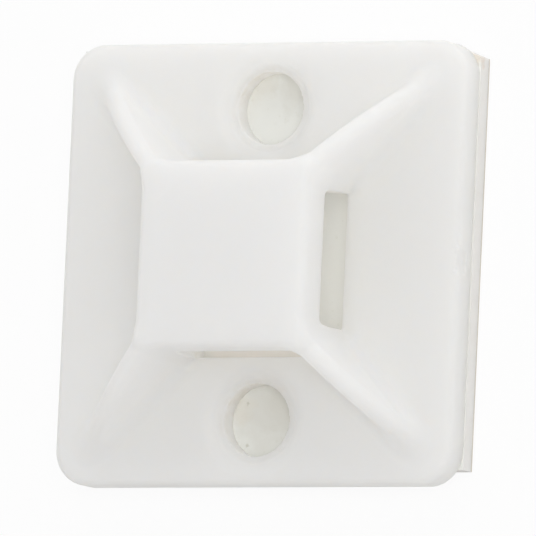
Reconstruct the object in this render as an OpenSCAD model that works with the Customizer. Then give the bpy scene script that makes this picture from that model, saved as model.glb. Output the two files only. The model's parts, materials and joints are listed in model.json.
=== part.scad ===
// Four-way adhesive mount for cable ties.
// A square nylon base carries a raised square bridge on four diagonal ridges. A tie passes under the
// bridge along X or along Y. The base is open below the bridge, so the mould parts in one straight
// pull, and a square of foam tape with its release liner closes it from below.
// Millimetres, +Z up. The origin is at the centre of the base, on the underside of the liner.

/* [Base plate] */
// Side of the square base
base_w = 20; // [18:0.5:28]
// Thickness of the base plate
plate_t = 1.3; // [1:0.1:2]
// Radius of the base's four corners, seen from above
base_corner_r = 1.6; // [0.8:0.1:2.5]
// Rounding along the plate's upper edge
plate_edge_r = 0.3; // [0.1:0.05:0.5]

/* [Bridge] */
// Side of the square bridge
bridge_w = 8.45; // [7.5:0.05:9]
// Height of the bridge's top above the plate
bridge_rise = 3.9; // [3:0.1:5]
// Thickness of the bridge over the tie passages
bridge_t = 1.8; // [1.2:0.1:2.2]
// Radius of the bridge's corners, seen from above
bridge_corner_r = 0.6; // [0.4:0.1:1]
// Rounding along the bridge's upper edge
bridge_edge_r = 0.35; // [0.1:0.05:0.38]

/* [Tie passages] */
// Width of a passage where it meets the plate's top
passage_w = 6.1; // [5:0.1:6.3]
// Draft on each side of a passage, which narrows upwards
passage_draft = 4; // [0:0.5:5]
// Rounding of a passage's upper corners
passage_corner_r = 0.3; // [0.1:0.05:0.5]
// Shut-off step between the bridge's side and the end of a passage
shutoff = 0.03; // [0.02:0.01:0.06]

/* [Ridges] */
// Width of a ridge's rounded crest
crest_w = 0.95; // [0.7:0.05:1.2]
// Draft on each flank of a ridge
ridge_draft = 5; // [2:0.5:6]
// Radius of the arc that a crest falls along
crest_arc_r = 16; // [12:0.5:30]
// Distance of a ridge's foot from each centre line
ridge_reach = 8.3; // [7.8:0.1:8.5]
// Drop from the bridge's top to the crest's upper end
crest_drop = 0.1; // [0:0.05:0.3]

/* [Screw holes] */
// Diameter of the two screw holes
screw_d = 3.3; // [2.8:0.1:3.8]
// Distance between the screw holes along Y
screw_spacing = 14.1; // [13.5:0.1:14.5]
// Diameter of a screw seat at the plate's top
seat_d = 4.6; // [4:0.1:4.8]
// Diameter of a screw seat at its floor
seat_floor_d = 3.9; // [3.85:0.05:3.95]
// Depth of a screw seat
seat_depth = 0.35; // [0.1:0.05:0.5]

/* [Foam pad and liner] */
// Thickness of the foam tape
foam_t = 0.8; // [0.5:0.1:1.6]
// How far the tape stops short of the base's +Y edge
foam_short_back = 0.15; // [0:0.05:1]
// How far the tape stops short of the base's -Y edge
foam_short_front = 0.75; // [0:0.05:1]
// Thickness of the release liner
liner_t = 0.1; // [0.08:0.01:0.2]

/* [Gate scar] */
// Radius of the scar that the trimmed gate left in the +X side
gate_r = 1; // [0.8:0.1:1.5]
// Depth of the scar
gate_depth = 0.15; // [0.05:0.05:0.25]
// Height of the scar, down from the plate's top
gate_h = 0.75; // [0.4:0.05:0.9]

/* [Hidden] */
$fn = 96;
// Overshoot of a cut beyond the face that it leaves through
over = 1;
foam_z = liner_t;
plate_z = foam_z + foam_t;
deck_z = plate_z + plate_t;
bridge_z = deck_z + bridge_rise;
foam_d = base_w - foam_short_back - foam_short_front;
foam_y = (foam_short_front - foam_short_back) / 2;
// The crest's arc runs from the bridge's corner to the ridge's foot, in a plane turned 45 degrees
crest_start = (bridge_w / 2 - bridge_corner_r) * sqrt(2) + bridge_corner_r - bridge_edge_r;
crest_end = ridge_reach * sqrt(2);
crest_fall = bridge_rise - crest_drop;
crest_chord = norm([crest_end - crest_start, crest_fall]);
crest_slope = atan2(crest_fall, crest_end - crest_start);
crest_half = asin(crest_chord / 2 / crest_arc_r);
crest_steepest = crest_slope + crest_half;
crest_axis = [crest_end - crest_arc_r * sin(crest_steepest), deck_z - crest_arc_r * cos(crest_steepest)];
// A ridge starts inside the bridge's corner and runs on below the deck until it is buried
ridge_from = crest_slope - crest_half - 2;
ridge_to = crest_steepest + 5;
ridge_web = crest_fall + plate_t;

// A square block whose upright corners and upper edge are rounded, standing on z = 0
module soft_block(side, height, corner_r, edge_r) {
    flat = side / 2 - corner_r;
    for (turn = [0:90:270])
        rotate(turn) {
            translate([flat, flat, 0])
                rotate_extrude(angle = 90) edge_profile(corner_r, height, edge_r);
            translate([flat, flat, 0]) rotate([90, 0, 0])
                linear_extrude(2 * flat) edge_profile(corner_r, height, edge_r);
        }
    translate([-flat, -flat, 0]) cube([2 * flat, 2 * flat, height]);
}

// Half section of a wall with a rounded upper edge
module edge_profile(reach, height, edge_r) {
    square([reach, height - edge_r]);
    square([reach - edge_r, height]);
    translate([reach - edge_r, height - edge_r]) intersection() {
        circle(edge_r);
        square(edge_r);
    }
}

// One ridge along the +X +Y diagonal, with a round crest and drafted flanks
module ridge() {
    crest_r = crest_w / 2;
    foot = crest_r + (ridge_web - crest_r) * tan(ridge_draft);
    inner = crest_arc_r - ridge_web;
    rotate(45) translate([crest_axis.x, 0, crest_axis.y])
        rotate([90, 0, 0]) rotate(90 - ridge_to)
            rotate_extrude(angle = ridge_to - ridge_from, $fn = 360) {
                translate([crest_arc_r - crest_r, 0]) circle(crest_r, $fn = 48);
                polygon([[inner, -foot], [crest_arc_r - crest_r, -crest_r],
                         [crest_arc_r - crest_r, crest_r], [inner, foot]]);
            }
}

// Cross section of a tie passage: drafted sides and rounded upper corners
module passage_section() {
    roof = bridge_rise - bridge_t;
    floor_z = -plate_t - over;
    r = passage_corner_r;
    half_roof = passage_w / 2 - roof * tan(passage_draft);
    half_floor = passage_w / 2 - floor_z * tan(passage_draft);
    corner = [half_roof - r, roof - r];
    turn = [for (a = [0:15:90]) corner + r * [cos(a), sin(a)]];
    right = concat([[half_floor, floor_z]], turn);
    left = [for (i = [len(right) - 1:-1:0]) [-right[i].x, right[i].y]];
    polygon(concat(right, left));
}

// The two crossing passages and the window in the plate below them
module passages() {
    run = bridge_w + 2 * shutoff;
    for (turn = [0, 90])
        rotate(turn) translate([-run / 2, 0, deck_z]) rotate([90, 0, 90])
            linear_extrude(run) passage_section();
}

// A screw hole with its shallow seat, at the plate's top
module screw_hole() {
    translate([0, 0, plate_z - over]) cylinder(h = plate_t + 2 * over, d = screw_d);
    translate([0, 0, deck_z - seat_depth])
        cylinder(h = seat_depth, d1 = seat_floor_d, d2 = seat_d);
    translate([0, 0, deck_z]) cylinder(h = over, d = seat_d);
}

// The scar where the gate was trimmed from the middle of the +X side
module gate_scar() {
    translate([base_w / 2 - gate_depth + gate_r, 0, deck_z - gate_h])
        cylinder(h = gate_h + over, r = gate_r);
}

// The moulded body: plate, ridges and bridge in one piece
module mount_body() {
    color("ivory") difference() {
        union() {
            translate([0, 0, plate_z]) soft_block(base_w, plate_t, base_corner_r, plate_edge_r);
            translate([0, 0, plate_z])
                soft_block(bridge_w, plate_t + bridge_rise, bridge_corner_r, bridge_edge_r);
            intersection() {
                for (turn = [0:90:270]) rotate(turn) ridge();
                translate([-base_w / 2, -base_w / 2, deck_z - plate_t / 2])
                    cube([base_w, base_w, plate_t / 2 + bridge_rise]);
            }
        }
        passages();
        for (side = [-1, 1]) translate([0, side * screw_spacing / 2, 0]) screw_hole();
        gate_scar();
    }
}

// Foam tape, die-cut square, which covers the window and both screw holes from below
module foam_pad() {
    color("white") translate([-base_w / 2, foam_y - foam_d / 2, foam_z])
        cube([base_w, foam_d, foam_t]);
}

// Release liner on the tape's underside
module release_liner() {
    color("lightgray") translate([-base_w / 2, foam_y - foam_d / 2, 0])
        cube([base_w, foam_d, liner_t]);
}

mount_body();
foam_pad();
release_liner();
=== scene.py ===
"""Looks of the four-way adhesive cable tie mount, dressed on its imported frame.

The nylon body is meshed from a distance field that holds the moulding's own sizes, so that its
crests, fillets and screw seats are true geometry. The foam tape and its liner are made by
Geometry Nodes. Lengths in the dataclasses are millimetres, and every mesh is in metres.
"""

from __future__ import annotations

import json
import logging
import math
from collections.abc import Sequence
from dataclasses import dataclass, field
from enum import Enum

import bpy
import numpy as np
from mathutils import Matrix, Vector


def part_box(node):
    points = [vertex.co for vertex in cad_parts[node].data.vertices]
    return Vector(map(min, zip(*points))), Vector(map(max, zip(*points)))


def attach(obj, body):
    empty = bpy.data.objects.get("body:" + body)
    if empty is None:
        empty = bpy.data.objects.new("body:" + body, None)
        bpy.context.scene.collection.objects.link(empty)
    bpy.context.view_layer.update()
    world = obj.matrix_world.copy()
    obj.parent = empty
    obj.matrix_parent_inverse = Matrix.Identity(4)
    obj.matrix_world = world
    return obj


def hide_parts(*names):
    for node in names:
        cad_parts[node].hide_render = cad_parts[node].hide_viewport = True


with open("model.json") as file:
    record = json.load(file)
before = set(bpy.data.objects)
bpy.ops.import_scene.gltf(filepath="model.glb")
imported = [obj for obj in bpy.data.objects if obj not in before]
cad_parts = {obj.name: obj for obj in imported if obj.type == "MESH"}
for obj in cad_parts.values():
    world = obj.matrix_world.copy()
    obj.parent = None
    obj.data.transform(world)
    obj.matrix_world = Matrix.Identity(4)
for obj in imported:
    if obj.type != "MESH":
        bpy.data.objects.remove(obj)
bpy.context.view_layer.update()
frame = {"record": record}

LOG = logging.getLogger("tie_mount")
MM = 0.001
ROOT = "root"

Colour = tuple[float, float, float, float]
Field = np.ndarray
Wire = bpy.types.NodeSocket


class Slot(Enum):
    """The record's material slots."""

    NYLON = "nylon"
    FOAM = "foam_tape"
    LINER = "liner"


class Socket(Enum):
    """The kinds of socket that the node groups in this file have."""

    VALUE = "NodeSocketFloat"
    COLOUR = "NodeSocketColor"
    VECTOR = "NodeSocketVector"
    GEOMETRY = "NodeSocketGeometry"
    MATERIAL = "NodeSocketMaterial"
    COUNT = "NodeSocketInt"


# ------------------------------------------------------------------ helpers


@dataclass
class Graph:
    """A thin builder over one node tree.

    Args:
        tree: the node tree that nodes are added to.
    """

    tree: bpy.types.NodeTree

    def add(self, kind: str, inputs: dict | None = None, **settings: object) -> bpy.types.Node:
        """Adds a node.

        Args:
            kind: the node's class name.
            inputs: values or sockets for the node's inputs, by name or number.
            settings: the node's own properties.

        Returns:
            The new node.
        """
        node = self.tree.nodes.new(kind)
        for name, value in settings.items():
            setattr(node, name, value)
        self.feed(node, inputs or {})
        return node

    def feed(self, node: bpy.types.Node, inputs: dict) -> None:
        """Sets or links inputs of a node.

        Args:
            node: the node.
            inputs: values or sockets, by the input's name or number.
        """
        for key, value in inputs.items():
            if isinstance(value, Wire):
                self.tree.links.new(value, node.inputs[key])
            else:
                node.inputs[key].default_value = value

    def shape(self, kind: str, geometry: Wire, **inputs: object) -> Wire:
        """Adds a node that changes a geometry.

        Args:
            kind: the node's class name.
            geometry: the geometry so far.
            inputs: the node's other inputs.

        Returns:
            The changed geometry's socket.
        """
        return self.add(kind, {"Geometry": geometry, **inputs}).outputs["Geometry"]

    def math(self, operation: str, a: object, b: object = 0.0, clamp: bool = False) -> Wire:
        """Adds a Math node and returns its output.

        Args:
            operation: the Math node's operation.
            a: first value or socket.
            b: second value or socket.
            clamp: whether the result is held between 0 and 1.

        Returns:
            The output socket.
        """
        return self.add("ShaderNodeMath", {0: a, 1: b}, operation=operation, use_clamp=clamp).outputs[0]

    def product(self, *factors: object) -> Wire:
        """Multiplies values and sockets.

        Args:
            factors: what is multiplied, at least two.

        Returns:
            The output socket.
        """
        total = factors[0]
        for factor in factors[1:]:
            total = self.math("MULTIPLY", total, factor)
        return total

    def remap(self, value: object, low: float, high: float, to_low: float, to_high: float) -> Wire:
        """Maps a value from one range onto another, held at the ends.

        Args:
            value: the socket to map.
            low: start of the source range.
            high: end of the source range.
            to_low: start of the new range.
            to_high: end of the new range.

        Returns:
            The mapped socket.
        """
        keys = {"Value": value, "From Min": low, "From Max": high, "To Min": to_low, "To Max": to_high}
        return self.add("ShaderNodeMapRange", keys).outputs["Result"]

    def noise(self, place: object, scale: object, detail: float, roughness: float) -> Wire:
        """Adds a Noise texture and returns its value.

        Args:
            place: the socket that holds the position.
            scale: the texture's scale per metre, a value or a socket.
            detail: number of octaves.
            roughness: weight of the finer octaves.

        Returns:
            The Fac socket.
        """
        keys = {"Vector": place, "Scale": scale, "Detail": detail, "Roughness": roughness}
        return self.add("ShaderNodeTexNoise", keys).outputs["Fac"]

    def blend(self, factor: object, first: object, second: object) -> Wire:
        """Mixes two colours.

        Args:
            factor: share of the second colour.
            first: colour or socket at factor 0.
            second: colour or socket at factor 1.

        Returns:
            The mixed colour's socket.
        """
        node = self.add("ShaderNodeMix", data_type="RGBA")
        numbers = {socket.name: i for i, socket in enumerate(node.inputs) if socket.enabled}
        self.feed(node, {numbers["Factor"]: factor, numbers["A"]: first, numbers["B"]: second})
        return next(socket for socket in node.outputs if socket.enabled)


def new_group(kind: str, name: str, inputs: dict[str, tuple[Socket, object]],
              outputs: dict[str, Socket]) -> tuple[Graph, bpy.types.NodeOutputs, bpy.types.Node]:
    """Makes an empty node group with named sockets.

    Args:
        kind: "ShaderNodeTree" or "GeometryNodeTree".
        name: the group's name.
        inputs: kind and default of each input, by name.
        outputs: kind of each output, by name.

    Returns:
        The group's graph, the sockets that hold its inputs, and its output node.
    """
    tree = bpy.data.node_groups.new(name, kind)
    for label, (socket, default) in inputs.items():
        made = tree.interface.new_socket(name=label, in_out="INPUT", socket_type=socket.value)
        if default is not None:
            made.default_value = default
    for label, socket in outputs.items():
        tree.interface.new_socket(name=label, in_out="OUTPUT", socket_type=socket.value)
    graph = Graph(tree)
    return graph, graph.add("NodeGroupInput").outputs, graph.add("NodeGroupOutput")


def grey(value: float) -> Colour:
    """Gives a neutral colour.

    Args:
        value: its brightness, linear.

    Returns:
        The opaque colour.
    """
    return (value, value, value, 1.0)


def new_object(name: str, data: bpy.types.ID) -> bpy.types.Object:
    """Makes an object and links it to the scene.

    Args:
        name: the object's name.
        data: its mesh, lamp or camera.

    Returns:
        The new object.
    """
    made = bpy.data.objects.new(name, data)
    bpy.context.scene.collection.objects.link(made)
    return made


# ------------------------------------------------------------------ shared effects

# Specks: cells per metre, share of the cells without one, a speck's reach and the softness of its
# edge, both in shares of a cell
SPECKS_PER_METRE = 3500.0
SPECK_FREE_SHARE = 0.5
SPECK_REACH = 0.3
SPECK_EDGE = 0.1


class Effects:
    """Shader groups that more than one finish uses, each built once."""

    def __init__(self) -> None:
        """Builds the groups."""
        self.grain = self._grain()
        self.mottle = self._mottle()
        self.specks = self._specks()

    @staticmethod
    def _grain() -> bpy.types.NodeTree:
        """Fine surface relief in two sizes.

        Returns:
            A group that puts out a height between 0 and 1.
        """
        graph, given, result = new_group(
            "ShaderNodeTree", "surface_grain",
            {"Coarse": (Socket.VALUE, 2000.0), "Fine": (Socket.VALUE, 9000.0), "Share": (Socket.VALUE, 0.5)},
            {"Height": Socket.VALUE})
        place = graph.add("ShaderNodeTexCoord").outputs["Object"]
        coarse = graph.noise(place, given["Coarse"], detail=3.0, roughness=0.55)
        fine = graph.noise(place, given["Fine"], detail=2.0, roughness=0.5)
        share = given["Share"]
        rest = graph.math("SUBTRACT", 1.0, share)
        height = graph.math("ADD", graph.product(fine, share), graph.product(coarse, rest))
        graph.feed(result, {"Height": height})
        return graph.tree

    @staticmethod
    def _mottle() -> bpy.types.NodeTree:
        """Soft uneven tone, as of resin flow, handling or paper pulp.

        Returns:
            A group that puts out a colour around a given one.
        """
        graph, given, result = new_group(
            "ShaderNodeTree", "soft_mottle",
            {"Colour": (Socket.COLOUR, grey(0.8)), "Tint": (Socket.COLOUR, grey(0.7)),
             "Scale": (Socket.VALUE, 300.0), "Amount": (Socket.VALUE, 0.2)},
            {"Colour": Socket.COLOUR})
        place = graph.add("ShaderNodeTexCoord").outputs["Object"]
        cloud = graph.noise(place, given["Scale"], detail=4.0, roughness=0.6)
        mask = graph.remap(cloud, 0.35, 0.7, 0.0, 1.0)
        factor = graph.product(mask, given["Amount"])
        mixed = graph.blend(factor, given["Colour"], given["Tint"])
        graph.feed(result, {"Colour": mixed})
        return graph.tree

    @staticmethod
    def _specks() -> bpy.types.NodeTree:
        """Scattered specks, one in some of the cells of a Voronoi texture.

        Returns:
            A group that puts out a mask between 0 and 1.
        """
        graph, _, result = new_group("ShaderNodeTree", "scattered_specks", {}, {"Mask": Socket.VALUE})
        place = graph.add("ShaderNodeTexCoord").outputs["Object"]
        cells = graph.add("ShaderNodeTexVoronoi", {"Vector": place, "Scale": SPECKS_PER_METRE})
        chance = graph.add("ShaderNodeSeparateColor", {0: cells.outputs["Color"]}).outputs[0]
        reach = graph.remap(chance, SPECK_FREE_SHARE, 1.0, 0.0, SPECK_REACH)
        inside = graph.math("SUBTRACT", reach, cells.outputs["Distance"])
        graph.feed(result, {"Mask": graph.remap(inside, 0.0, SPECK_EDGE, 0.0, 1.0)})
        return graph.tree


@dataclass(frozen=True)
class Finish:
    """A surface finish: what every material in this file has in common.

    Args:
        name: the material's name.
        colour: main colour, linear.
        tint: the colour that the mottling drifts towards.
        mottle_scale: scale of the mottling, per metre.
        mottle_amount: how far the colour drifts.
        roughness: lowest and highest roughness.
        grain: coarse scale, fine scale and the fine one's share.
        relief: height of the grain, in millimetres.
    """

    name: str
    colour: Colour
    tint: Colour
    mottle_scale: float
    mottle_amount: float
    roughness: tuple[float, float]
    grain: tuple[float, float, float]
    relief: float

    def start(self, effects: Effects) -> tuple[bpy.types.Material, Graph, bpy.types.Node, Wire]:
        """Makes the material with its grain, its roughness and its mottled colour.

        Args:
            effects: the shared shader groups.

        Returns:
            The material, its graph, its Principled shader and the mottled colour's socket.
        """
        material = bpy.data.materials.new(self.name)
        material.use_nodes = True
        graph = Graph(material.node_tree)
        shader = material.node_tree.nodes["Principled BSDF"]
        grain = dict(zip(("Coarse", "Fine", "Share"), self.grain))
        height = graph.add("ShaderNodeGroup", grain, node_tree=effects.grain).outputs["Height"]
        bump = graph.add("ShaderNodeBump", {"Height": height, "Distance": self.relief * MM, "Strength": 1.0})
        rough = graph.remap(height, 0.3, 0.7, *self.roughness)
        mottle = {"Colour": self.colour, "Tint": self.tint,
                  "Scale": self.mottle_scale, "Amount": self.mottle_amount}
        tone = graph.add("ShaderNodeGroup", mottle, node_tree=effects.mottle).outputs["Colour"]
        graph.feed(shader, {"Normal": bump.outputs["Normal"], "Roughness": rough, "Base Color": tone})
        return material, graph, shader, tone


@dataclass(frozen=True)
class NylonFinish(Finish):
    """Natural nylon as moulded: matt and translucent, with painted light and painted shade in its hollows and
    painted shade under the bridge and in the screw holes.

    Args:
        painted_hollow_light: a lighter colour painted into the hollows at the feet of the ridges and the
            bridge, painted light against the shade that falls there.
        shade_and_bare_tone: a warm darker colour painted into the inner corners, painted shade there.
        shade_and_bare_share: how much of the surface that painted shade hides.
        painted_shade: a dark warm colour painted under the bridge and in the screw holes, painted shade where
            shade falls.
        painted_shade_share: how much of the surface that painted shade hides.
        patches: scale of the patches that the painted shade lies in, per metre.
        scatter: how far light travels below the surface, in millimetres, for red, green and blue.
        glow: share of the light that passes right through a wall.
        glow_colour: what is left of that light at each surface.
        inside: colour of the wall seen from within.
        ior: how strongly the surface bends light.
    """

    painted_hollow_light: Colour = (0.975, 0.975, 0.985, 1.0)
    shade_and_bare_tone: Colour = (0.60, 0.56, 0.48, 1.0)
    shade_and_bare_share: float = 0.08
    painted_shade: Colour = (0.56, 0.49, 0.36, 1.0)
    painted_shade_share: float = 0.8
    patches: float = 1400.0
    scatter: tuple[float, float, float] = (2.0, 1.85, 1.7)
    glow: float = 0.45
    glow_colour: Colour = (0.97, 0.965, 0.95, 1.0)
    inside: Colour = (0.98, 0.974, 0.962, 1.0)
    ior: float = 1.53

    def build(self, effects: Effects) -> bpy.types.Material:
        """Makes the material.

        Args:
            effects: the shared shader groups.

        Returns:
            The finished material.
        """
        material, graph, shader, tone = self.start(effects)
        hollow = graph.add("ShaderNodeAttribute", attribute_name="hollow").outputs["Fac"]
        place = graph.add("ShaderNodeTexCoord").outputs["Object"]
        cloud = graph.noise(place, self.patches, detail=4.0, roughness=0.65)
        patchy = graph.remap(cloud, 0.35, 0.75, 0.25, 1.0)
        # Painted light: the hollows are lifted towards a lighter colour, against the shade that falls in them
        tone = graph.blend(hollow, tone, self.painted_hollow_light)
        # Painted shade: a warm darker colour laid in patches in the hollows
        tone = graph.blend(graph.product(hollow, patchy, self.shade_and_bare_share), tone, self.shade_and_bare_tone)
        # Painted shade: a dark warm colour under the bridge, in the window below it and in the screw holes,
        # heavier on each hole's +Y side
        shaded_places = graph.add("ShaderNodeAttribute", attribute_name="shaded_places").outputs["Fac"]
        tone = graph.blend(graph.product(shaded_places, patchy, self.painted_shade_share), tone, self.painted_shade)
        graph.feed(shader, {"Base Color": tone, "IOR": self.ior, "Subsurface Weight": 1.0,
                            "Subsurface Radius": self.scatter, "Subsurface Scale": MM})
        self.let_light_through(graph, shader)
        return material

    def let_light_through(self, graph: Graph, shader: bpy.types.Node) -> None:
        """Lets light pass through the walls, and keeps it going inside them.

        Args:
            graph: the material's graph.
            shader: its Principled shader.
        """
        within = graph.add("ShaderNodeBsdfDiffuse", {"Color": self.inside})
        passing = graph.add("ShaderNodeBsdfTranslucent", {"Color": self.glow_colour})
        turned = graph.add("ShaderNodeNewGeometry").outputs["Backfacing"]
        wall = graph.add("ShaderNodeMixShader", {0: turned, 1: shader.outputs[0], 2: within.outputs[0]})
        both = graph.add("ShaderNodeMixShader", {0: self.glow, 1: wall.outputs[0], 2: passing.outputs[0]})
        graph.feed(graph.tree.nodes["Material Output"], {"Surface": both.outputs[0]})


@dataclass(frozen=True)
class Mark:
    """A small mark at one place: a speck, a spot, or a patch of painted shade or painted light.

    Args:
        place: its centre on the object, in millimetres.
        radius: how far it reaches, in millimetres.
        colour: its colour.
        strength: how much it hides what is below it.
    """

    place: tuple[float, float, float]
    radius: float
    colour: Colour
    strength: float


@dataclass(frozen=True)
class TapeFinish(Finish):
    """Foam, adhesive or liner: a plain matt or waxy surface.

    Args:
        sheen: strength of the reflection, 0.5 for a common plastic.
        scatter: share of light that goes below the surface.
        scatter_reach: how far that light travels, in millimetres, for red, green and blue.
        shade_and_bare_tone: colour of the tape where nothing covers it; where it is covered its lighter main
            colour stays, painted light that it sends back into the nylon.
        shade_and_bare_share: how far the open parts go towards that colour.
        speck_share: how much of the surface a speck hides where the tape lies open.
        marks: specks, a brown spot, and patches of painted shade and painted light.
    """

    sheen: float
    scatter: float = 0.0
    scatter_reach: tuple[float, float, float] = (0.6, 0.55, 0.5)
    shade_and_bare_tone: Colour = (0.778, 0.783, 0.745, 1.0)
    shade_and_bare_share: float = 0.0
    speck_share: float = 0.4
    marks: tuple[Mark, ...] = ()

    def build(self, effects: Effects) -> bpy.types.Material:
        """Makes the material.

        Args:
            effects: the shared shader groups.

        Returns:
            The finished material.
        """
        material, graph, shader, tone = self.start(effects)
        if self.shade_and_bare_share:
            bare = graph.add("ShaderNodeAttribute", attribute_name="open").outputs["Fac"]
            # The open parts take the darker tone; where the tape is covered its lighter main colour stays,
            # painted light that goes back into the nylon
            tone = graph.blend(graph.product(bare, self.shade_and_bare_share), tone, self.shade_and_bare_tone)
            specks = graph.add("ShaderNodeGroup", node_tree=effects.specks).outputs["Mask"]
            tone = graph.blend(graph.product(specks, bare, self.speck_share), tone, self.tint)
        for mark in self.marks:
            tone = self.with_mark(graph, tone, mark)
        graph.feed(shader, {"Base Color": tone, "Specular IOR Level": self.sheen,
                            "Subsurface Weight": self.scatter,
                            "Subsurface Radius": self.scatter_reach, "Subsurface Scale": MM})
        return material

    @staticmethod
    def with_mark(graph: Graph, tone: Wire, mark: Mark) -> Wire:
        """Lays one mark over a colour, with a ragged outline.

        Args:
            graph: the material's graph.
            tone: the colour so far.
            mark: the mark.

        Returns:
            The colour with the mark on it.
        """
        place = graph.add("ShaderNodeTexCoord").outputs["Object"]
        centre = tuple(c * MM for c in mark.place)
        away = graph.add("ShaderNodeVectorMath", {0: place, 1: centre}, operation="DISTANCE").outputs["Value"]
        lobes_across = 1.5
        full_within = 0.4 * mark.radius * MM
        ragged = graph.noise(place, lobes_across / (mark.radius * MM), detail=3.0, roughness=0.6)
        reach = graph.product(away, graph.remap(ragged, 0.3, 0.7, 0.6, 1.5))
        share = graph.remap(reach, full_within, mark.radius * MM, mark.strength, 0.0)
        return graph.blend(share, tone, mark.colour)


# ------------------------------------------------------------------ distance fields


def round_union(a: Field, b: Field, radius: float) -> Field:
    """Joins two solids with a fillet in the corner between them.

    Args:
        a, b: distances to the two solids.
        radius: the fillet's radius.

    Returns:
        Distance to the joined solid.
    """
    u, v = np.maximum(radius - a, 0), np.maximum(radius - b, 0)
    return np.maximum(radius, np.minimum(a, b)) - np.hypot(u, v)


def round_overlap(a: Field, b: Field, radius: float) -> Field:
    """Keeps what two solids share, with the edge between them rounded.

    Args:
        a, b: distances to the two solids.
        radius: the edge's radius.

    Returns:
        Distance to the shared solid.
    """
    u, v = np.maximum(radius + a, 0), np.maximum(radius + b, 0)
    return np.minimum(-radius, np.maximum(a, b)) + np.hypot(u, v)


def rounded_square(x: Field, y: Field, half: float, radius: float) -> Field:
    """Distance to a square with rounded corners, in plan.

    Args:
        x, y: the place, from the centre.
        half: half of the square's side.
        radius: the corners' radius.

    Returns:
        Distance to the outline, negative inside.
    """
    u, v = np.abs(x) - (half - radius), np.abs(y) - (half - radius)
    return np.hypot(np.maximum(u, 0), np.maximum(v, 0)) + np.minimum(np.maximum(u, v), 0) - radius


def surface_net(values: Field, origin: np.ndarray, pitch: float) -> tuple[np.ndarray, np.ndarray]:
    """Turns a sampled distance field into a closed mesh of four-sided faces.

    Args:
        values: the field on a grid of points, negative inside.
        origin: place of the grid's first point.
        pitch: distance between grid points.

    Returns:
        Vertex places and faces, the faces wound outwards.
    """
    inside = values < 0
    shape = np.array(values.shape) - 1
    crossings = np.zeros((*shape, 3))
    counts = np.zeros(shape)
    ends = (slice(0, -1), slice(1, None))
    # Each cell's vertex lies at the mean of the points where the surface cuts the cell's edges
    for axis in range(3):
        others = [a for a in range(3) if a != axis]
        for i in (0, 1):
            for j in (0, 1):
                near: list[slice] = [slice(None)] * 3
                near[axis], near[others[0]], near[others[1]] = ends[0], ends[i], ends[j]
                far = list(near)
                far[axis] = ends[1]
                a, b = values[tuple(near)], values[tuple(far)]
                cut = (a < 0) != (b < 0)
                share = np.where(cut, a / np.where(cut, a - b, 1.0), 0.0)
                crossings[..., axis] += share
                crossings[..., others[0]] += i * cut
                crossings[..., others[1]] += j * cut
                counts += cut
    total = counts > 0
    number = np.full(shape, -1)
    number[total] = np.arange(int(total.sum()))
    cell = np.argwhere(total)
    points = origin + pitch * (cell + crossings[total] / counts[total][:, None])
    faces = []
    # Each grid edge that the surface cuts gets a face between the vertices of the four cells round it
    for axis in range(3):
        others = [a for a in range(3) if a != axis]
        low: list[slice] = [slice(1, -1)] * 3
        low[axis] = slice(0, -1)
        high = list(low)
        high[axis] = slice(1, None)
        start, stop = inside[tuple(low)], inside[tuple(high)]
        spot = np.argwhere(start != stop)
        grid = spot.copy()
        grid[:, others[0]] += 1
        grid[:, others[1]] += 1
        ring = []
        for i, j in ((-1, -1), (0, -1), (0, 0), (-1, 0)):
            step = grid.copy()
            step[:, others[0]] += i
            step[:, others[1]] += j
            ring.append(number[tuple(step.T)])
        quad = np.stack(ring, axis=1)
        leaving = start[tuple(spot.T)]
        flip = leaving if axis == 1 else ~leaving
        quad[flip] = quad[flip][:, ::-1]
        faces.append(quad)
    return points, np.concatenate(faces)


def vertex_places(data: bpy.types.Mesh) -> np.ndarray:
    """Reads where a mesh's vertices are.

    Args:
        data: the mesh.

    Returns:
        One place for each vertex, in millimetres.
    """
    flat = np.empty(len(data.vertices) * 3, np.float32)
    data.vertices.foreach_get("co", flat)
    return flat.reshape(-1, 3).astype(float) / MM


# ------------------------------------------------------------------ the moulded body


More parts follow.
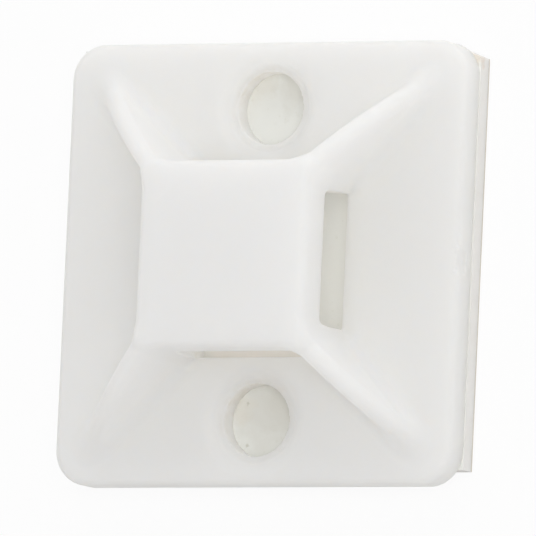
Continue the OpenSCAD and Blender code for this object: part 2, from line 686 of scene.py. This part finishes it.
@dataclass
class MountBody:
    """The nylon moulding: base plate, four ridges and the bridge.

    Each size has the name, the meaning and the value that it has in the part's own source, in
    millimetres and degrees. The one exception is passage_w: the passages are drawn 0.1 mm wider on
    each side than in the source. The outline, the heights and the screw holes' places are read from
    the frame, and the sizes listed here are only in this file.

    Args:
        finish: the nylon.
        effects: the shared shader groups.
        burr_r: radius of the burrs that the trimmed gate left.
        burr_y: where along the +X side the burrs are.
        foot_fillet: fillet between the deck and what stands on it.
        web_fillet: fillet between the ridges and the bridge.
        cut_edge_r: rounding of the edges that the passages and the gate scar cut.
        seat_edge_r: rounding of the screw seats' edges.
        roofed_shade_share: how strong the painted shade under the bridge is, next to that on the screw holes'
            walls.
        hollow_reach: distances from the surface at which hollows are looked for.
        pitch: distance between the grid points of the distance field.
        keep_share: share of the faces that is kept.
    """

    finish: NylonFinish
    effects: Effects
    plate_t: float = 1.3
    base_corner_r: float = 1.6
    plate_edge_r: float = 0.3
    bridge_w: float = 8.45
    bridge_t: float = 1.8
    bridge_corner_r: float = 0.6
    bridge_edge_r: float = 0.35
    passage_w: float = 6.3
    passage_draft: float = 4.0
    passage_corner_r: float = 0.3
    shutoff: float = 0.03
    crest_w: float = 0.95
    ridge_draft: float = 5.0
    crest_arc_r: float = 16.0
    ridge_reach: float = 8.3
    crest_drop: float = 0.1
    seat_d: float = 4.6
    seat_floor_d: float = 3.9
    seat_depth: float = 0.35
    gate_r: float = 1.0
    gate_depth: float = 0.15
    gate_h: float = 0.75
    burr_r: float = 0.13
    burr_y: tuple[float, float] = (0.62, -0.5)
    foot_fillet: float = 0.7
    web_fillet: float = 0.5
    cut_edge_r: float = 0.06
    seat_edge_r: float = 0.25
    roofed_shade_share: float = 0.6
    hollow_reach: tuple[float, ...] = (0.6, 1.6, 3.2)
    pitch: float = 0.085
    keep_share: float = 0.42
    base_w: float = field(init=False)
    plate_z: float = field(init=False)
    deck_z: float = field(init=False)
    bridge_z: float = field(init=False)
    screw_r: float = field(init=False)
    screw_y: float = field(init=False)

    def __post_init__(self) -> None:
        """Reads the body's outline, heights and screw holes from the frame."""
        low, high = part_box("mount_body")
        self.base_w = (high.x - low.x) / MM
        self.plate_z = low.z / MM
        self.bridge_z = high.z / MM
        self.deck_z = self.plate_z + self.plate_t
        screws = next(m for m in frame["record"]["mounts"] if m["name"] == "screw_holes")
        self.screw_r = screws["dims"]["hole_r_mm"]
        self.screw_y = screws["dims"]["spacing_y_mm"] / 2

    @property
    def bridge_rise(self) -> float:
        """Measures the bridge.

        Returns:
            Height of its top above the deck.
        """
        return self.bridge_z - self.deck_z

    @staticmethod
    def block(x: Field, y: Field, z: Field, side: float, top: float, corner_r: float, edge_r: float) -> Field:
        """Distance to a square block whose corners and upper edge are rounded.

        Args:
            x, y, z: the place.
            side: the block's side.
            top: height of its upper face.
            corner_r: radius of its corners, in plan.
            edge_r: radius of its upper edge.

        Returns:
            Distance to the block, which goes on downwards.
        """
        return round_overlap(rounded_square(x, y, side / 2, corner_r), z - top, edge_r)

    def ridges(self, x: Field, y: Field, z: Field) -> Field:
        """Distance to the four ridges, whose crests fall along an arc.

        Args:
            x, y, z: the place.

        Returns:
            Distance to the nearest ridge.
        """
        corner = self.bridge_w / 2 - self.bridge_corner_r
        start = corner * math.sqrt(2) + self.bridge_corner_r - self.bridge_edge_r
        end = self.ridge_reach * math.sqrt(2)
        fall = self.bridge_rise - self.crest_drop
        chord = math.hypot(end - start, fall)
        steepest = math.atan2(fall, end - start) + math.asin(chord / 2 / self.crest_arc_r)
        axis_s = end - self.crest_arc_r * math.sin(steepest)
        axis_z = self.deck_z - self.crest_arc_r * math.cos(steepest)
        along = (np.abs(x) + np.abs(y)) / math.sqrt(2)
        across = np.abs(np.abs(x) - np.abs(y)) / math.sqrt(2)
        crest_r = self.crest_w / 2
        below = np.hypot(along - axis_s, z - axis_z) - self.crest_arc_r + crest_r
        draft = math.radians(self.ridge_draft)
        flank = (across - crest_r + np.minimum(below, 0) * math.tan(draft)) * math.cos(draft)
        web = np.where(below > 0, np.hypot(below, across) - crest_r, flank)
        inner = start - self.crest_w - along
        return np.maximum(web, np.maximum(inner, self.deck_z - self.plate_t / 2 - z))

    def passage(self, across: Field, along: Field, z: Field, endless: bool) -> Field:
        """Distance to one tie passage.

        Args:
            across: distance from the passage's middle plane.
            along: distance from the bridge's centre along the passage.
            z: height.
            endless: whether the passage runs on past the bridge.

        Returns:
            Distance to the empty space.
        """
        rise = z - self.deck_z
        draft = math.radians(self.passage_draft)
        side = (np.abs(across) - self.passage_w / 2 + rise * math.tan(draft)) * math.cos(draft)
        roof = rise - (self.bridge_rise - self.bridge_t)
        space = round_overlap(side, roof, self.passage_corner_r)
        if endless:
            return space
        return np.maximum(space, np.abs(along) - self.bridge_w / 2 - self.shutoff)

    def foot_radius(self, x: Field, y: Field) -> Field:
        """Radius of the fillet on the deck, which fades out beside the ends of the passages.

        Args:
            x, y: the place.

        Returns:
            The radius at each place.
        """
        gap = np.full(np.broadcast(x, y).shape, self.foot_fillet)
        for across, along in ((x, y), (y, x)):
            beside = np.maximum(np.abs(across) - self.passage_w / 2, 0)
            beyond = np.maximum(np.abs(along) - self.bridge_w / 2, 0)
            gap = np.minimum(gap, np.hypot(beside, beyond))
        return np.maximum(gap, self.cut_edge_r)

    def screw_hole(self, x: Field, y: Field, z: Field) -> Field:
        """Distance to one screw hole with its seat.

        Args:
            x, y, z: the place, from the hole's axis.

        Returns:
            Distance to the empty space.
        """
        reach = np.hypot(x, y)
        hole = reach - self.screw_r
        slope = math.atan2(self.seat_d / 2 - self.seat_floor_d / 2, self.seat_depth)
        below = np.minimum(z - self.deck_z, 0)
        wall = (reach - self.seat_d / 2 - below * math.tan(slope)) * math.cos(slope)
        seat = np.maximum(wall, self.deck_z - self.seat_depth - z)
        return np.minimum(hole, seat)

    def distance(self, x: Field, y: Field, z: Field) -> Field:
        """Distance to the whole body.

        Args:
            x, y, z: the place.

        Returns:
            Distance to the surface, negative inside the nylon.
        """
        plate = self.block(x, y, z, self.base_w, self.deck_z, self.base_corner_r, self.plate_edge_r)
        bridge = self.block(x, y, z, self.bridge_w, self.bridge_z, self.bridge_corner_r, self.bridge_edge_r)
        for across, along in ((x, y), (y, x)):
            bridge = round_overlap(bridge, -self.passage(across, along, z, True), self.cut_edge_r)
        raised = round_union(bridge, self.ridges(x, y, z), self.web_fillet)
        raised = round_overlap(raised, z - self.bridge_z, self.cut_edge_r)
        body = round_union(plate, raised, self.foot_radius(x, y))
        for across, along in ((x, y), (y, x)):
            body = round_overlap(body, -self.passage(across, along, z, False), self.cut_edge_r)
        for side in (-1, 1):
            body = round_overlap(body, -self.screw_hole(x, y - side * self.screw_y, z), self.seat_edge_r)
        scar = np.hypot(x - self.base_w / 2 + self.gate_depth - self.gate_r, y) - self.gate_r
        scar = np.maximum(scar, self.deck_z - self.gate_h - z)
        body = round_overlap(body, -scar, self.cut_edge_r)
        for place in self.burr_y:
            lump = np.sqrt((x - self.base_w / 2 + self.burr_r) ** 2 + (y - place) ** 2
                           + (z - self.deck_z + self.burr_r / 2) ** 2) - self.burr_r
            body = round_union(body, lump, self.burr_r / 2)
        return np.maximum(body, self.plate_z - z)

    def mesh(self) -> bpy.types.Mesh:
        """Meshes the body.

        Returns:
            The mesh, in metres, with an attribute for how deep in a hollow each vertex lies and one for where
            painted shade goes.
        """
        reach = self.base_w / 2 + 3 * self.pitch
        plan = np.arange(-reach, reach, self.pitch)
        height = np.arange(self.plate_z - 3 * self.pitch, self.bridge_z + 3 * self.pitch, self.pitch)
        x, y, z = np.meshgrid(plan, plan, height, indexing="ij", sparse=True)
        values = self.distance(x, y, z)
        points, faces = surface_net(values, np.array([plan[0], plan[0], height[0]]), self.pitch)
        points = self.settle(points)
        data = bpy.data.meshes.new("mount_body_nylon")
        data.from_pydata((points * MM).tolist(), [], faces.tolist())
        data.validate()
        light = self.thin_out(data)
        self.mark_places(light)
        light.shade_smooth()
        return light

    def gradient(self, points: np.ndarray, step: float = 0.01) -> np.ndarray:
        """Unit direction in which the distance grows, at each point.

        Args:
            points: places in millimetres.
            step: how far apart the two samples are taken.

        Returns:
            One unit vector for each point.
        """
        parts = []
        for axis in range(3):
            shift = np.zeros(3)
            shift[axis] = step
            ahead, behind = points + shift, points - shift
            parts.append(self.distance(*ahead.T) - self.distance(*behind.T))
        slope = np.stack(parts, axis=1)
        return slope / np.maximum(np.linalg.norm(slope, axis=1, keepdims=True), 1e-9)

    def settle(self, points: np.ndarray, rounds: int = 2) -> np.ndarray:
        """Moves points onto the true surface.

        Args:
            points: places in millimetres.
            rounds: how often each point is moved.

        Returns:
            The settled places.
        """
        for _ in range(rounds):
            gap = np.clip(self.distance(*points.T), -self.pitch, self.pitch)
            points = points - self.gradient(points) * gap[:, None]
        return points

    def shaded_places(self, points: np.ndarray, fade: float = 0.3) -> np.ndarray:
        """Finds what lies under the bridge, in the window below it or in a screw hole.

        These are the places where shade falls and painted shade goes. In a screw hole the value is highest on
        its +Y side and falls off towards its -Y side, following the shade of the hole's wall.

        Args:
            points: places in millimetres.
            fade: distance over which the value rises.

        Returns:
            A value between 0 and 1 for each point.
        """
        x, y, z = points.T
        beyond = np.maximum(np.abs(x), np.abs(y)) - self.bridge_w / 2
        under = np.minimum(-beyond, self.bridge_z - self.bridge_t + fade - z)
        window = np.minimum(fade - beyond, self.deck_z - self.cut_edge_r - z)
        covered = np.clip(np.maximum(under, window) / fade, 0, 1)
        side = np.abs(y) - self.screw_y
        shelf = self.deck_z - self.seat_depth
        hole = np.minimum(self.screw_r + fade - np.hypot(x, side), shelf + fade / 2 - z)
        # Painted shade in a screw hole is heavier on its +Y side, where the wall's shade falls
        upper = np.clip(0.5 + 0.5 * side * np.sign(y) / self.screw_r, 0, 1)
        return np.maximum(self.roofed_shade_share * covered, upper * np.clip(hole / fade, 0, 1))

    def thin_out(self, data: bpy.types.Mesh) -> bpy.types.Mesh:
        """Collapses faces, first where the surface is flat.

        Args:
            data: the full mesh.

        Returns:
            The lighter mesh.
        """
        whole = new_object("mount_body_whole", data)
        fewer = whole.modifiers.new("fewer", "DECIMATE")
        fewer.ratio = self.keep_share
        graph = bpy.context.evaluated_depsgraph_get()
        light = bpy.data.meshes.new_from_object(whole.evaluated_get(graph))
        bpy.data.objects.remove(whole)
        bpy.data.meshes.remove(data)
        light.name = "mount_body_nylon"
        return light

    def mark_places(self, data: bpy.types.Mesh) -> None:
        """Stores how deep in a hollow each vertex lies and where painted shade goes, under the bridge and in
        the screw holes.

        Args:
            data: the body's mesh.
        """
        points = vertex_places(data)
        outward = self.gradient(points)
        hollow = np.zeros(len(points))
        for out in self.hollow_reach:
            away = self.distance(*(points + outward * out).T) / out
            hollow += np.clip(1 - away, 0, 1) / len(self.hollow_reach)
        for label, share in (("hollow", hollow), ("shaded_places", self.shaded_places(points))):
            mark = data.attributes.new(label, "FLOAT", "POINT")
            mark.data.foreach_set("value", share.astype(np.float32))

    def dress(self) -> bpy.types.Object:
        """Builds the body and puts it in place of its plain solid.

        Returns:
            The finished piece.
        """
        body = new_object("nylon_body", self.mesh())
        body.data.materials.append(self.finish.build(self.effects))
        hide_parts("mount_body")
        return settle_piece(body)


def settle_piece(piece: bpy.types.Object) -> bpy.types.Object:
    """Lets a piece ride on the one body and reports it.

    Args:
        piece: the finished piece, at the origin.

    Returns:
        The same piece.
    """
    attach(piece, ROOT)
    LOG.info("%s: %d faces", piece.name, len(piece.data.polygons))
    return piece


# ------------------------------------------------------------------ foam tape and liner


def grown_mesh(name: str, tree: bpy.types.NodeTree, values: dict[str, object]) -> bpy.types.Mesh:
    """Runs a Geometry Nodes tree and keeps its result as a plain mesh.

    Args:
        name: the mesh's name.
        tree: the tree, which ends in Realize Instances and Set Material.
        values: the tree's inputs by name.

    Returns:
        The plain mesh.
    """
    host = new_object(name + "_host", bpy.data.meshes.new(name + "_seed"))
    grow = host.modifiers.new("grow", "NODES")
    grow.node_group = tree
    for item in tree.interface.items_tree:
        if item.item_type == "SOCKET" and item.in_out == "INPUT" and item.name in values:
            grow[item.identifier] = values[item.name]
    graph = bpy.context.evaluated_depsgraph_get()
    result = bpy.data.meshes.new_from_object(host.evaluated_get(graph))
    host.modifiers.remove(grow)
    seed = host.data
    bpy.data.objects.remove(host)
    bpy.data.meshes.remove(seed)
    result.name = name
    return result


@dataclass
class TapeSlab:
    """A die-cut slab of the tape, with a slightly ragged cut edge.

    Args:
        node: the slab's node in the frame.
        slot: the record's slot; not used.
        side: finish of the cut sides.
        face: finish of the upper and lower faces.
        effects: the shared shader groups.
        spacing: distance between the slab's vertices, in millimetres.
        cell: size of the pits in the cut sides, in millimetres.
        pit: depth of the pits, in millimetres.
        seam: how far the slab stops short of what lies on it, in millimetres.
        wear: how much of the +X +Y corner is worn off along X and along Y, in millimetres.
        cover: what lies on the slab, under which the face keeps its lighter main colour as painted light, if
            anything does.
    """

    node: str
    slot: Slot
    side: TapeFinish
    face: TapeFinish
    effects: Effects
    spacing: float = 0.16
    cell: float = 0.3
    pit: float = 0.02
    seam: float = 0.01
    wear: tuple[float, float] = (1.3, 0.5)
    cover: MountBody | None = None

    def tree(self) -> bpy.types.NodeTree:
        """Builds the tree that makes the slab.

        Returns:
            The Geometry Nodes tree.
        """
        graph, given, result = new_group(
            "GeometryNodeTree", self.node + "_slab",
            {"Size": (Socket.VECTOR, (0.02, 0.02, 0.001)), "Centre": (Socket.VECTOR, (0.0, 0.0, 0.0)),
             "Columns": (Socket.COUNT, 10), "Rows": (Socket.COUNT, 10), "Layers": (Socket.COUNT, 3),
             "Cell": (Socket.VALUE, 0.0003), "Pit": (Socket.VALUE, 0.00005),
             "Wear Along": (Socket.VECTOR, (0.4, 0.9, 0.0)), "Wear From": (Socket.VALUE, 0.012),
             "Side": (Socket.MATERIAL, None), "Face": (Socket.MATERIAL, None)},
            {"Geometry": Socket.GEOMETRY})
        slab = graph.add("GeometryNodeMeshCube", {
            "Size": given["Size"], "Vertices X": given["Columns"],
            "Vertices Y": given["Rows"], "Vertices Z": given["Layers"]}).outputs["Mesh"]
        place = graph.add("GeometryNodeInputPosition").outputs["Position"]
        outward = graph.add("GeometryNodeInputNormal").outputs["Normal"]
        parts = graph.add("ShaderNodeSeparateXYZ", {0: outward})
        upright = graph.math("ABSOLUTE", parts.outputs["Z"])
        side_below = 0.5
        on_side = graph.math("LESS_THAN", upright, side_below)
        scale = graph.math("DIVIDE", 1.0, given["Cell"])
        softness = 0.4
        cells = graph.add("ShaderNodeTexVoronoi", {"Vector": place, "Scale": scale, "Smoothness": softness},
                          feature="SMOOTH_F1")
        deep = graph.math("SUBTRACT", 1.0, cells.outputs["Distance"], clamp=True)
        inwards = graph.product(deep, given["Pit"], -1.0)
        flat = graph.add("ShaderNodeCombineXYZ", {"X": parts.outputs["X"], "Y": parts.outputs["Y"]})
        offset = graph.add("ShaderNodeVectorMath", {0: flat.outputs[0], "Scale": inwards}, operation="SCALE")
        mesh = graph.shape("GeometryNodeSetPosition", slab, Selection=on_side, Offset=offset.outputs[0])
        along = graph.add("ShaderNodeVectorMath", {0: place, 1: given["Wear Along"]},
                          operation="DOT_PRODUCT").outputs["Value"]
        excess = graph.math("MAXIMUM", graph.math("SUBTRACT", along, given["Wear From"]), 0.0)
        back = graph.product(excess, -1.0)
        pulled = graph.add("ShaderNodeVectorMath", {0: given["Wear Along"], "Scale": back},
                           operation="SCALE")
        mesh = graph.shape("GeometryNodeSetPosition", mesh, Offset=pulled.outputs[0])
        mesh = graph.shape("GeometryNodeTransform", mesh, Translation=given["Centre"])
        mesh = graph.shape("GeometryNodeRealizeInstances", mesh)
        mesh = graph.shape("GeometryNodeSetMaterial", mesh, Material=given["Face"])
        mesh = graph.shape("GeometryNodeSetMaterial", mesh, Selection=on_side, Material=given["Side"])
        graph.feed(result, {"Geometry": mesh})
        return graph.tree

    def mark_open(self, data: bpy.types.Mesh, above: float = 0.2, fade: float = 0.15,
                  window_lift: float = 0.4) -> None:
        """Stores how open to the air each vertex is, in the "open" attribute.

        Args:
            data: the slab's mesh.
            above: height above the cover's underside that is looked at, in millimetres.
            fade: how far the darker open tone reaches in below the inner walls, in millimetres.
            window_lift: share of the darker tone left off under the bridge, painted light on the tape's face
                in the window there.
        """
        points = vertex_places(data)
        lifted = points * (1, 1, 0) + (0, 0, self.cover.plate_z + above)
        inner = np.abs(points).max(axis=1) < self.cover.base_w / 2 - fade
        clear = np.clip(inner + self.cover.distance(*lifted.T) / fade, 0, 1)
        roofed = self.cover.shaded_places(lifted) * (np.abs(points).max(axis=1) < self.cover.bridge_w / 2)
        mark = data.attributes.new("open", "FLOAT", "POINT")
        # Painted light: under the bridge the tape's face is kept lighter, against the shade in the window
        mark.data.foreach_set("value", (clear * (1 - window_lift * roofed)).astype(np.float32))

    def dress(self) -> bpy.types.Object:
        """Builds the slab and puts it in place of its plain solid.

        Returns:
            The finished piece.
        """
        low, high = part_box(self.node)
        high = high - Vector((0, 0, self.seam * MM))
        size = high - low
        step = self.spacing * MM
        across, along = self.wear[0] * MM, self.wear[1] * MM
        normal = Vector((along, across, 0)).normalized()
        worn_from = Vector((size.x / 2 - across, size.y / 2, 0))
        values = {
            "Wear Along": tuple(normal), "Wear From": normal.dot(worn_from),
            "Size": tuple(size), "Centre": tuple((low + high) / 2),
            "Columns": round(size.x / step) + 1, "Rows": round(size.y / step) + 1,
            "Layers": max(2, round(size.z / step) + 1),
            "Cell": self.cell * MM, "Pit": self.pit * MM,
            "Side": self.side.build(self.effects), "Face": self.face.build(self.effects),
        }
        data = grown_mesh(self.node + "_slab", self.tree(), values)
        if self.cover:
            self.mark_open(data)
        piece = new_object(self.node + "_cut", data)
        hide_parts(self.node)
        return settle_piece(piece)


# ------------------------------------------------------------------ studio


@dataclass(frozen=True)
class Lamp:
    """One square soft light.

    Args:
        name: the lamp's name.
        direction: from the object towards the lamp.
        level: brightness that it gives a white surface that faces it.
        distance: how far off it stands, in metres.
        size: its side, in metres.
    """

    name: str
    direction: tuple[float, float, float]
    level: float
    distance: float = 0.6
    size: float = 0.4

    def place(self, target: Vector) -> None:
        """Stands the lamp up, aimed at the target.

        Args:
            target: what the lamp faces.
        """
        data = bpy.data.lights.new(self.name, "AREA")
        data.shape = "SQUARE"
        data.size = self.size
        data.energy = self.level * math.pi * math.pi * self.distance ** 2
        lamp = new_object(self.name, data)
        aim = Vector(self.direction).normalized()
        lamp.visible_camera = False
        lamp.location = target + aim * self.distance
        lamp.rotation_euler = aim.to_track_quat("Z", "Y").to_euler()


@dataclass
class Studio:
    """A white sweep, soft light and a long lens that looks down on the mount.

    Args:
        towards_camera: direction from the object to the camera.
        upwards: the direction that is up in the view.
        distance: from the aim point to the camera, in metres.
        view_w: width of the view at the aim point, in millimetres.
        centre: where the aim point lies in the view, in shares of its side from its centre.
        sensor_w: width of the camera's sensor, in millimetres.
        near_clip: distance below which the camera sees nothing, in metres.
        floor_w: side of the square floor, in metres.
        floor_gap: how far below the object the floor lies, in millimetres.
        floor_tone: brightness of the floor's own colour.
        floor_roughness: roughness of the floor.
        floor_sheen: strength of the floor's reflection.
        floor_white: share of plain white in the floor as the camera sees it.
        lamps: the lamps.
        fill: level of the even light from all round.
        bounces: how often light may bounce in the pale hollows.
    """

    towards_camera: tuple[float, float, float] = (0.4568, -0.1050, 0.8834)
    upwards: tuple[float, float, float] = (0.0078, 0.9934, 0.1140)
    distance: float = 0.9
    view_w: float = 24.06
    centre: tuple[float, float] = (-0.0151, 0.0095)
    sensor_w: float = 36.0
    near_clip: float = 0.01
    floor_w: float = 3.0
    floor_gap: float = 0.02
    floor_tone: float = 0.85
    floor_roughness: float = 0.9
    floor_sheen: float = 0.1
    floor_white: float = 0.9
    fill: float = 0.518
    bounces: int = 16
    lamps: Sequence[Lamp] = (
        Lamp("front", (0.37, -0.04, 0.88), level=0.398),
        Lamp("back_low", (0.0, 0.96, 0.28), level=0.345),
        Lamp("right_low", (0.96, 0.0, 0.28), level=0.04),
        Lamp("left_low", (-0.96, 0.0, 0.28), level=0.115),
        Lamp("back_close", (0.6, 0.75, 0.28), level=0.11, distance=0.1, size=0.08),
    )

    def floor(self) -> None:
        """Lays a white floor that looks white and still takes the object's soft shadow."""
        half = self.floor_w / 2
        data = bpy.data.meshes.new("floor")
        low = -self.floor_gap * MM
        corners = [(-half, -half, low), (half, -half, low), (half, half, low), (-half, half, low)]
        data.from_pydata(corners, [], [(0, 1, 2, 3)])
        sheet = new_object("floor", data)
        material = bpy.data.materials.new("floor_white")
        material.use_nodes = True
        graph = Graph(material.node_tree)
        shader = graph.tree.nodes["Principled BSDF"]
        graph.feed(shader, {"Base Color": grey(self.floor_tone), "Roughness": self.floor_roughness,
                            "Specular IOR Level": self.floor_sheen})
        paper = graph.add("ShaderNodeEmission", {"Color": grey(1.0), "Strength": 1.0})
        path = graph.add("ShaderNodeLightPath")
        seen = graph.math("MAXIMUM", path.outputs["Is Camera Ray"], path.outputs["Is Glossy Ray"])
        seen = graph.math("MAXIMUM", seen, path.outputs["Is Transmission Ray"])
        share = graph.product(seen, self.floor_white)
        mix = graph.add("ShaderNodeMixShader", {0: share, 1: shader.outputs[0], 2: paper.outputs[0]})
        graph.feed(graph.tree.nodes["Material Output"], {"Surface": mix.outputs[0]})
        data.materials.append(material)

    def world(self) -> None:
        """Surrounds the scene with even light, and with white where the camera looks past the floor."""
        world = bpy.data.worlds.new("studio")
        world.use_nodes = True
        graph = Graph(world.node_tree)
        soft = graph.tree.nodes["Background"]
        graph.feed(soft, {"Color": grey(1.0), "Strength": self.fill})
        white = graph.add("ShaderNodeBackground", {"Color": grey(1.0), "Strength": 1.0})
        path = graph.add("ShaderNodeLightPath")
        mix = graph.add("ShaderNodeMixShader", {
            0: path.outputs["Is Camera Ray"], 1: soft.outputs[0], 2: white.outputs[0]})
        graph.feed(graph.tree.nodes["World Output"], {"Surface": mix.outputs[0]})
        bpy.context.scene.world = world

    def camera(self, target: Vector) -> None:
        """Sets up the camera.

        Args:
            target: the point that it aims at.
        """
        data = bpy.data.cameras.new("camera")
        data.sensor_width = self.sensor_w
        data.lens = data.sensor_width * self.distance / (self.view_w * MM)
        data.clip_start = self.near_clip
        camera = new_object("camera", data)
        back = Vector(self.towards_camera).normalized()
        right = Vector(self.upwards).cross(back).normalized()
        up = back.cross(right)
        shift = right * self.centre[0] * self.view_w * MM + up * self.centre[1] * self.view_w * MM
        rotation = Matrix((right, up, back)).transposed().to_4x4()
        camera.matrix_world = Matrix.Translation(target + back * self.distance - shift) @ rotation
        bpy.context.scene.camera = camera

    def build(self, target: Vector) -> None:
        """Builds the whole studio.

        Args:
            target: what camera and lamps aim at.
        """
        self.floor()
        self.world()
        self.camera(target)
        for lamp in self.lamps:
            lamp.place(target)
        bpy.context.scene.view_settings.view_transform = "Standard"
        bpy.context.scene.cycles.max_bounces = self.bounces
        bpy.context.scene.cycles.diffuse_bounces = self.bounces


# ------------------------------------------------------------------ the finishes

NYLON = NylonFinish(
    name="natural_nylon", colour=(0.878, 0.886, 0.912, 1), tint=(0.868, 0.872, 0.89, 1),
    mottle_scale=260.0, mottle_amount=0.5, roughness=(0.58, 0.7), grain=(1500.0, 9000.0, 0.4), relief=0.006)

# The colours of the marks on the tape: painted shade in the screw holes, dark specks, and painted warm light
# under the bridge's -Y edge; and the height that its marks are centred at
HOLE_SHADE: Colour = (0.62, 0.60, 0.54, 1)
WARM_HOLE_SHADE: Colour = (0.66, 0.58, 0.45, 1)
DARK_SPECK: Colour = (0.4, 0.38, 0.28, 1)
WINDOW_WARM_LIGHT: Colour = (0.94, 0.885, 0.83, 1)
TAPE_TOP = 0.88
# A brown spot at the worn +X +Y corner of the foam and adhesive
CORNER_BROWN_SPOT = Mark((9.75, 9.4, 0.85), 0.6, (0.66, 0.5, 0.36, 1), 0.35)


def tape_marks() -> tuple[Mark, ...]:
    """Lists the marks on the tape's upper face.

    Returns:
        The brown spot at the worn corner, painted shade and dark specks in the two screw holes, and a
        strip of painted warm light under the bridge's -Y edge.
    """
    in_holes = (
        # Painted shade in the screw holes, darkest towards the walls that shade them; the two dark specks are
        # real
        (0.3, -6.6, 2.2, HOLE_SHADE, 0.4), (0.9, -6.2, 1.3, HOLE_SHADE, 0.35), (0.9, 8.0, 1.3, HOLE_SHADE, 0.35),
        (-0.9, 8.3, 0.9, WARM_HOLE_SHADE, 0.16), (-1.4, -6.4, 1.0, WARM_HOLE_SHADE, 0.2),
        (-0.95, -6.2, 0.1, DARK_SPECK, 0.4), (-0.9, -8.1, 0.12, DARK_SPECK, 0.4),
    )
    # Painted warm light on the tape's face in the window under the bridge's -Y edge
    strip = tuple((x, -3.9, 1.8, WINDOW_WARM_LIGHT, 0.65) for x in (-2.0, 0.0, 2.0))
    marks = (Mark((x, y, TAPE_TOP), radius, colour, strength)
             for x, y, radius, colour, strength in in_holes + strip)
    return (CORNER_BROWN_SPOT, *marks)


FOAM = TapeFinish(
    name="foam_cut", colour=(0.83, 0.815, 0.79, 1), tint=(0.79, 0.765, 0.72, 1),
    mottle_scale=900.0, mottle_amount=0.5, roughness=(0.8, 0.95), grain=(3000.0, 9000.0, 0.5), relief=0.02,
    sheen=0.3, scatter=0.3, marks=(CORNER_BROWN_SPOT,))
# The adhesive's main colour is lighter than the tone it shows where it lies open: painted light under the
# nylon, sent back into the deck
ADHESIVE = TapeFinish(
    name="adhesive_film", colour=(0.93, 0.92, 0.88, 1), tint=(0.72, 0.72, 0.66, 1),
    mottle_scale=700.0, mottle_amount=0.15, roughness=(0.35, 0.55), grain=(1200.0, 5000.0, 0.4), relief=0.012,
    sheen=0.45, scatter=0.2, shade_and_bare_share=0.9, marks=tape_marks())
LINER_PAPER = TapeFinish(
    name="liner_paper", colour=(0.68, 0.64, 0.56, 1), tint=(0.60, 0.55, 0.46, 1),
    mottle_scale=500.0, mottle_amount=0.5, roughness=(0.45, 0.6), grain=(2500.0, 8000.0, 0.5), relief=0.004,
    sheen=0.45)


# ------------------------------------------------------------------ assembly


def main() -> None:
    """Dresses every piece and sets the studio."""
    logging.basicConfig(level=logging.INFO, format="%(name)s: %(message)s")
    effects = Effects()
    body = MountBody(NYLON, effects)
    body.dress()
    pad = TapeSlab("foam_pad", Slot.FOAM, FOAM, ADHESIVE, effects, cover=body).dress()
    TapeSlab("release_liner", Slot.LINER, LINER_PAPER, LINER_PAPER, effects, pit=0.01).dress()
    Studio().build(Vector((0, 0, body.deck_z * MM)))


if __name__ == "__main__":
    main()
